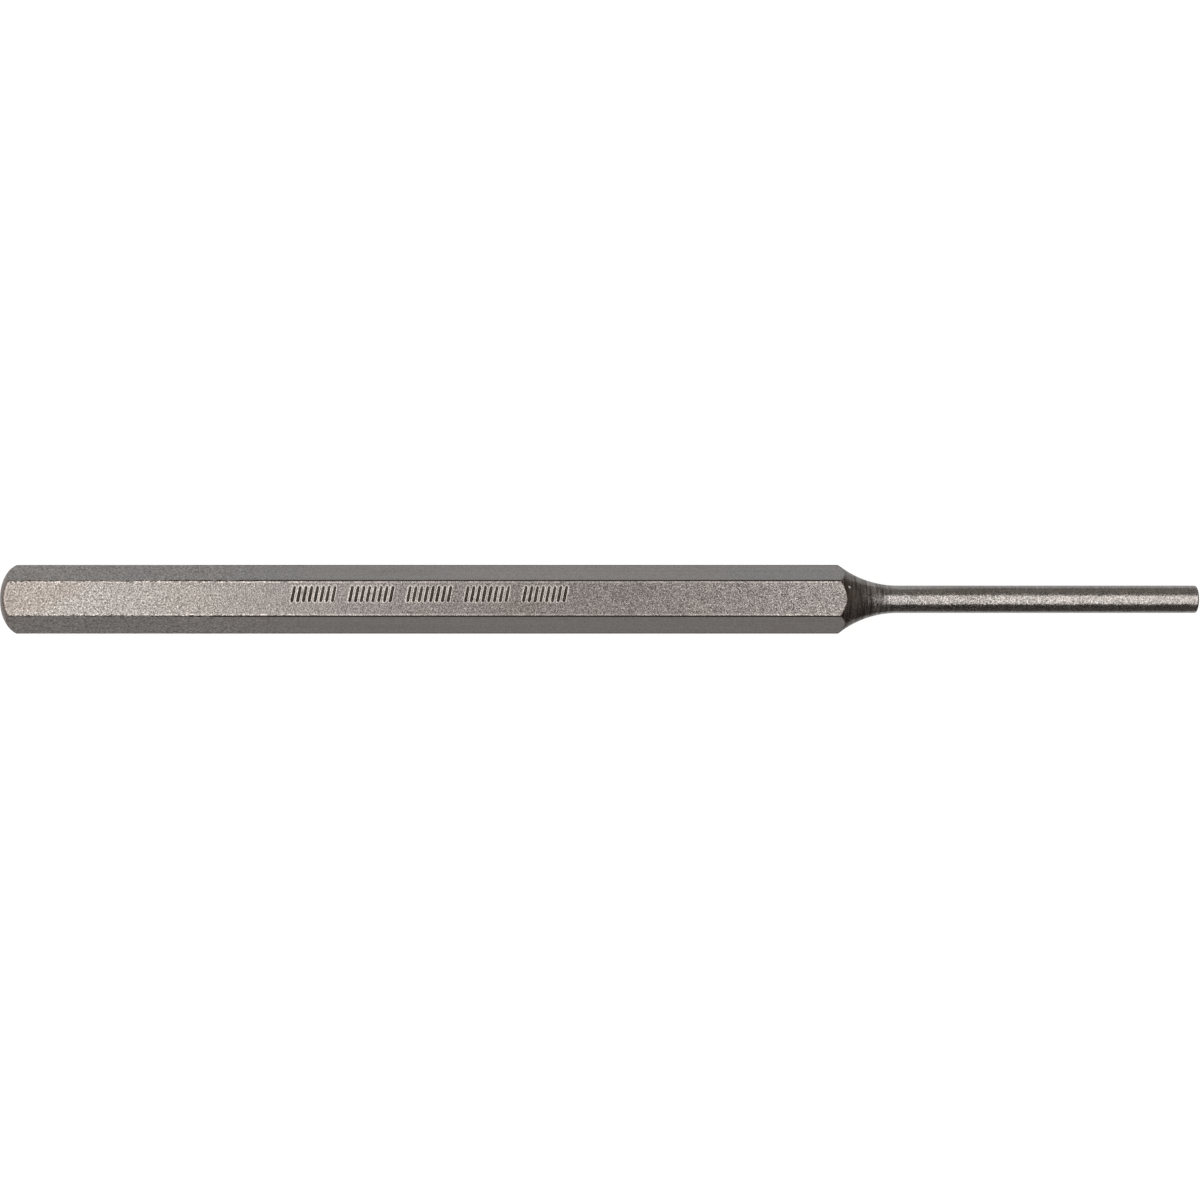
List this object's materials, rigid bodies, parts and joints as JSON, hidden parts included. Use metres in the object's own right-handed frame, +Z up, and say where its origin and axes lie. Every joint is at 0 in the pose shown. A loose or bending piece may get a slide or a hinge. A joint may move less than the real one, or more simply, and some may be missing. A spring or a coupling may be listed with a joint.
{
  "type": "pin punch",
  "caption": "Solid steel pin punch with a hexagonal body, a crowned striking head and a straight round pin, for driving pins out of their holes.",
  "frame": {"origin": "on the flat that the punch lies on, under the middle of its overall length and width", "axes": "+X along the punch from the striking head to the pin's tip, +Z up, out of the flat opposite the one it lies on, +Y across the corners"},
  "size_m": [0.127, 0.0074, 0.0064],
  "materials": {
    "blasted_steel": "bead-blasted bare tool steel, satin"
  },
  "bodies": {
    "root": {"pin_punch": "blasted_steel"}
  },
  "joints": []
}
